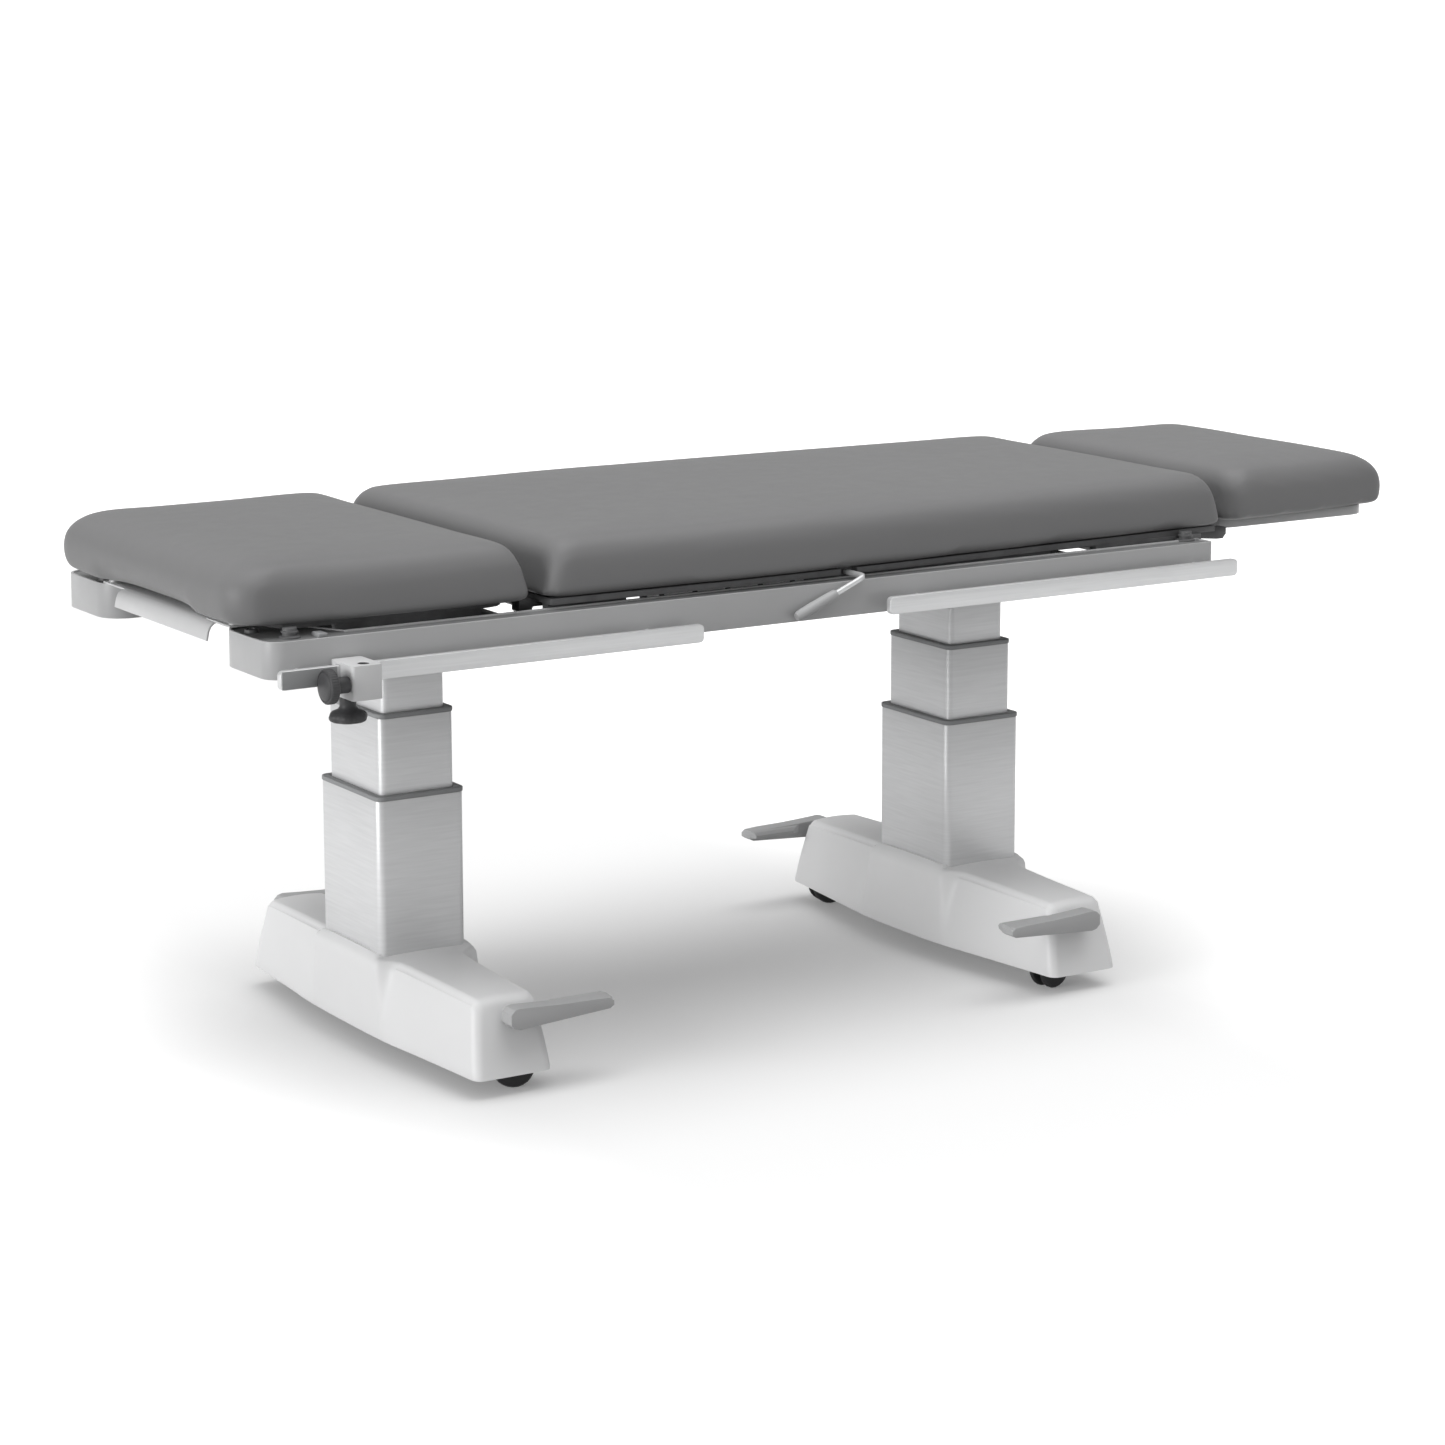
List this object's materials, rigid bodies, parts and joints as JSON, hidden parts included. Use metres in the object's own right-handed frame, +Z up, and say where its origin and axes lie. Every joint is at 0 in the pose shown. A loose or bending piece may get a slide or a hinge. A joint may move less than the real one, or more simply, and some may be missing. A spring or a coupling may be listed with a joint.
{
  "type": "examination couch",
  "caption": "Height-adjustable examination couch: three-section padded top, tubular frame with side rails, two telescopic columns and two castor bases with brake pedals.",
  "frame": {"origin": "on the floor under the centre of the whole couch, bounding box bottom centre", "axes": "+X along the couch from the wide head section with the handle towards the narrow end section, +Z up, +Y across the couch away from the side with the rail clamp"},
  "size_m": [2.025, 0.7932, 0.754],
  "materials": {
    "painted_frame": "satin",
    "base_moulding": "satin",
    "column_profile": "satin",
    "collar_plastic": "matte",
    "upholstery": "satin",
    "deck_board": "matte",
    "deck_steel": "matte",
    "black_steel": "satin",
    "rail_steel": "satin",
    "knob_plastic": "matte",
    "pedal_plastic": "matte",
    "castor_tread": "matte",
    "grip_plastic": "matte"
  },
  "bodies": {
    "upper_frame": {"side_member_near": "painted_frame", "side_member_far": "painted_frame", "left_cross_member": "deck_steel", "right_cross_member": "deck_steel", "left_column_head": "deck_steel", "right_column_head": "deck_steel", "end_handle_plate": "painted_frame", "side_rail_near_left": "rail_steel", "side_rail_near_right": "rail_steel", "side_rail_far_left": "rail_steel", "side_rail_far_right": "rail_steel", "centre_deck": "deck_board", "centre_pad": "upholstery", "left_hinge_bar": "black_steel", "right_hinge_bar": "black_steel", "left_top_stage": "column_profile", "right_top_stage": "column_profile", "left_lift_drive": "black_steel", "right_lift_drive": "black_steel", "right_gas_spring_cylinder": "black_steel"},
    "left_section": {"left_deck": "deck_board", "left_pad": "upholstery"},
    "right_section": {"right_tray": "painted_frame", "right_pad": "upholstery"},
    "left_spring_cylinder": {"left_gas_spring_cylinder": "black_steel"},
    "left_spring_rod": {"left_gas_spring_rod": "rail_steel"},
    "right_spring_rod": {"right_gas_spring_rod": "rail_steel"},
    "release_lever": {"release_lever_rod": "rail_steel", "release_lever_grip": "grip_plastic"},
    "clamp": {"clamp_body": "painted_frame"},
    "post_knob": {"clamp_post_knob": "knob_plastic"},
    "rail_knob": {"clamp_rail_knob": "knob_plastic"},
    "left_mid_stage": {"left_mid_stage": "column_profile", "left_mid_collar": "collar_plastic"},
    "left_base": {"left_outer_stage": "column_profile", "left_outer_collar": "collar_plastic", "left_base_cover": "base_moulding", "left_chassis": "rail_steel"},
    "left_brake": {"left_brake_shaft": "rail_steel", "left_brake_pedal_near": "pedal_plastic", "left_brake_pedal_far": "pedal_plastic"},
    "left_castor_fork_near": {"left_castor_fork_near": "black_steel"},
    "left_castor_wheels_near": {"left_castor_wheels_near": "castor_tread"},
    "left_castor_fork_far": {"left_castor_fork_far": "black_steel"},
    "left_castor_wheels_far": {"left_castor_wheels_far": "castor_tread"},
    "right_mid_stage": {"right_mid_stage": "column_profile", "right_mid_collar": "collar_plastic"},
    "right_base": {"right_outer_stage": "column_profile", "right_outer_collar": "collar_plastic", "right_base_cover": "base_moulding", "right_chassis": "rail_steel"},
    "right_brake": {"right_brake_shaft": "rail_steel", "right_brake_pedal_near": "pedal_plastic", "right_brake_pedal_far": "pedal_plastic"},
    "right_castor_fork_near": {"right_castor_fork_near": "black_steel"},
    "right_castor_wheels_near": {"right_castor_wheels_near": "castor_tread"},
    "right_castor_fork_far": {"right_castor_fork_far": "black_steel"},
    "right_castor_wheels_far": {"right_castor_wheels_far": "castor_tread"}
  },
  "joints": [
    {"name": "left_section_tilt", "type": "hinge", "parent": "upper_frame", "child": "left_section", "pos_m": [-0.5605, 0.0236, 0.662], "axis": [0, 1, 0], "range_deg": [0, 30]},
    {"name": "right_section_tilt", "type": "hinge", "parent": "upper_frame", "child": "right_section", "pos_m": [0.6505, 0.0236, 0.661], "axis": [0, -1, 0], "range_deg": [-30, 30]},
    {"name": "left_spring_swing", "type": "hinge", "parent": "upper_frame", "child": "left_spring_cylinder", "pos_m": [-0.3435, 0.0236, 0.624], "axis": [0, 1, 0], "range_deg": [0, 1.3]},
    {"name": "left_spring_stroke", "type": "slide", "parent": "left_spring_cylinder", "child": "left_spring_rod", "axis": [-1, 0, 0], "range_m": [0, 0.0192]},
    {"name": "right_spring_stroke", "type": "slide", "parent": "upper_frame", "child": "right_spring_rod", "axis": [1, 0, 0], "range_m": [-0.0192, 0.0192]},
    {"name": "release_lever_pull", "type": "hinge", "parent": "upper_frame", "child": "release_lever", "pos_m": [-0.0565, -0.3034, 0.6665], "axis": [0, 1, 0], "range_deg": [0, 15], "stiffness_Nm_per_rad": 0.6, "springref_deg": -20.05},
    {"name": "clamp_travel", "type": "slide", "parent": "upper_frame", "child": "clamp", "axis": [1, 0, 0], "range_m": [-0.035, 0.4]},
    {"name": "post_knob_turn", "type": "hinge", "parent": "clamp", "child": "post_knob", "pos_m": [-0.8695, -0.3734, 0.607], "axis": [1, 0, 0], "range_deg": [-180, 180]},
    {"name": "rail_knob_turn", "type": "hinge", "parent": "clamp", "child": "rail_knob", "pos_m": [-0.8785, -0.3444, 0.559], "axis": [0, 0, 1], "range_deg": [-180, 180]},
    {"name": "left_lift_upper", "type": "slide", "parent": "left_mid_stage", "child": "upper_frame", "axis": [0, 0, 1], "range_m": [-0.1, 0.06]},
    {"name": "left_lift_lower", "type": "slide", "parent": "left_base", "child": "left_mid_stage", "axis": [0, 0, 1], "range_m": [-0.1, 0.06]},
    {"name": "left_brake_pedal_turn", "type": "hinge", "parent": "left_base", "child": "left_brake", "pos_m": [-0.6305, 0.0236, 0.113], "axis": [0, 1, 0], "range_deg": [-25, 25]},
    {"name": "left_near_castor_swivel", "type": "hinge", "parent": "left_base", "child": "left_castor_fork_near", "pos_m": [-0.6245, -0.2734, 0.069], "axis": [0, 0, 1], "continuous": true},
    {"name": "left_near_castor_roll", "type": "hinge", "parent": "left_castor_fork_near", "child": "left_castor_wheels_near", "pos_m": [-0.60718, -0.2834, 0.03], "axis": [0.5, 0.866, 0], "continuous": true},
    {"name": "left_far_castor_swivel", "type": "hinge", "parent": "left_base", "child": "left_castor_fork_far", "pos_m": [-0.6245, 0.3206, 0.069], "axis": [0, 0, 1], "continuous": true},
    {"name": "left_far_castor_roll", "type": "hinge", "parent": "left_castor_fork_far", "child": "left_castor_wheels_far", "pos_m": [-0.6045, 0.3206, 0.03], "axis": [0, 1, 0], "continuous": true},
    {"name": "right_lift_upper", "type": "slide", "parent": "upper_frame", "child": "right_mid_stage", "axis": [0, 0, -1], "range_m": [-0.1, 0.06]},
    {"name": "right_lift_lower", "type": "slide", "parent": "right_mid_stage", "child": "right_base", "axis": [0, 0, -1], "range_m": [-0.1, 0.06]},
    {"name": "right_brake_pedal_turn", "type": "hinge", "parent": "right_base", "child": "right_brake", "pos_m": [0.3415, 0.0236, 0.113], "axis": [0, 1, 0], "range_deg": [-25, 25]},
    {"name": "right_near_castor_swivel", "type": "hinge", "parent": "right_base", "child": "right_castor_fork_near", "pos_m": [0.3355, -0.2734, 0.069], "axis": [0, 0, 1], "continuous": true},
    {"name": "right_near_castor_roll", "type": "hinge", "parent": "right_castor_fork_near", "child": "right_castor_wheels_near", "pos_m": [0.31594, -0.27756, 0.03], "axis": [0.2079, -0.9781, 0], "continuous": true},
    {"name": "right_far_castor_swivel", "type": "hinge", "parent": "right_base", "child": "right_castor_fork_far", "pos_m": [0.3355, 0.3206, 0.069], "axis": [0, 0, 1], "continuous": true},
    {"name": "right_far_castor_roll", "type": "hinge", "parent": "right_castor_fork_far", "child": "right_castor_wheels_far", "pos_m": [0.3158, 0.32407, 0.03], "axis": [-0.1736, -0.9848, 0], "continuous": true}
  ],
  "couplings": [
    {"joint": "left_spring_swing", "follows": "left_section_tilt", "ratio": 0.0413},
    {"joint": "left_spring_stroke", "follows": "left_section_tilt", "m_per_rad": 0.0363},
    {"joint": "right_spring_stroke", "follows": "right_section_tilt", "m_per_rad": 0.0363},
    {"joint": "left_lift_lower", "follows": "left_lift_upper", "ratio": 1},
    {"joint": "right_lift_upper", "follows": "left_lift_upper", "ratio": 1},
    {"joint": "right_lift_lower", "follows": "left_lift_upper", "ratio": 1}
  ]
}
